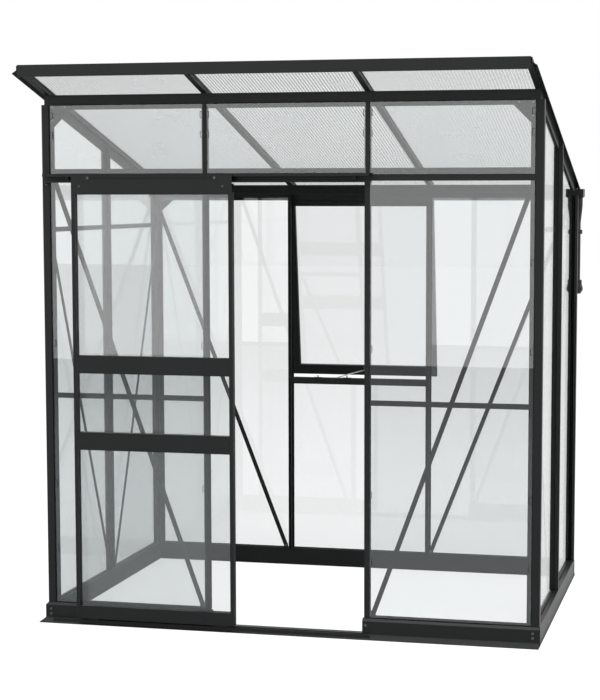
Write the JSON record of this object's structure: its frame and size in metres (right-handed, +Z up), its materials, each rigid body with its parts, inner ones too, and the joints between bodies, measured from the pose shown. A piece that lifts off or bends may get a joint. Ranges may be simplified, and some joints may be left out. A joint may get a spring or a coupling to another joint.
{
  "type": "greenhouse",
  "caption": "Free-standing mono-pitch greenhouse in dark aluminium with glass walls, twin-wall roof, sliding door, top-hung window and rear gutter",
  "frame": {"origin": "middle of the front base rail's underside, on the ground, in the plane of the front wall's outer faces", "axes": "+X to the right along the front wall, +Y from the front wall to the rear wall, +Z up"},
  "size_m": [1.955, 1.6775, 2.1181],
  "materials": {
    "frame": "black powder coat, satin",
    "glass": "clear float glass",
    "rubber": "matt black seal",
    "roof_sheet": "clear twin-wall sheet",
    "nylon": "black nylon",
    "pipe": "black moulded pipe",
    "steel": "zinc-plated",
    "bare_metal": "bare mill finish"
  },
  "bodies": {
    "frame": {"base_front": "frame", "base_rear": "frame", "base_left": "frame", "base_right": "frame", "door_sill": "frame", "post_front_left": "frame", "post_front_right": "frame", "post_rear_left": "frame", "post_rear_right": "frame", "bar_front_left": "frame", "bar_front_right": "frame", "bars_rear": "frame", "bar_side_left": "frame", "bar_side_right": "frame", "head_beam": "frame", "door_track": "frame", "track_stops": "nylon", "transom": "frame", "mid_rails": "frame", "side_rails": "frame", "sill_rail": "frame", "stay_pegs": "frame", "eave_beam": "frame", "hinge_channel": "frame", "gussets": "frame", "braces_front": "frame", "braces_rear": "frame", "braces_side": "frame", "brace_feet": "frame", "bar_caps": "frame", "seals": "rubber", "glass_transom": "glass", "glass_front": "glass", "glass_side_left": "glass", "glass_side_right": "glass", "glass_rear": "glass", "rafter_left": "frame", "rafter_right": "frame", "rafters_mid": "frame", "roof_caps": "frame", "roof_sheets": "roof_sheet", "fascia": "frame", "gutter": "frame", "gutter_ends": "frame", "gutter_outlet": "pipe", "downpipe": "pipe", "pipe_collars": "pipe", "pipe_socket": "pipe"},
    "door": {"door_stiles": "frame", "door_hanger": "frame", "door_rails": "frame", "door_glass": "glass", "door_axles": "steel"},
    "roller_left": {"roller_left": "nylon"},
    "roller_right": {"roller_right": "nylon"},
    "window": {"window_rails": "frame", "window_stiles": "frame", "window_glass": "glass", "stay_bracket": "bare_metal"},
    "stay": {"stay_arm": "bare_metal"}
  },
  "joints": [
    {"name": "door_slide", "type": "slide", "parent": "frame", "child": "door", "axis": [1, 0, 0], "range_m": [-0.07, 0.508]},
    {"name": "roller_left_spin", "type": "hinge", "parent": "door", "child": "roller_left", "pos_m": [-0.756, -0.016, 1.711], "axis": [0, 1, 0], "continuous": true},
    {"name": "roller_right_spin", "type": "hinge", "parent": "door", "child": "roller_right", "pos_m": [-0.26, -0.016, 1.711], "axis": [0, 1, 0], "continuous": true},
    {"name": "window_hinge", "type": "hinge", "parent": "frame", "child": "window", "pos_m": [0, 1.2945, 1.632], "axis": [1, 0, 0], "range_deg": [-7.5, 32.5]},
    {"name": "stay_swing", "type": "hinge", "parent": "window", "child": "stay", "pos_m": [0.012, 1.38008, 0.87469], "axis": [0, -0.1305, 0.9914], "range_deg": [-50, 110]}
  ],
  "couplings": [
    {"joint": "roller_left_spin", "follows": "door_slide", "rad_per_m": 89.286},
    {"joint": "roller_right_spin", "follows": "door_slide", "rad_per_m": 89.286}
  ]
}
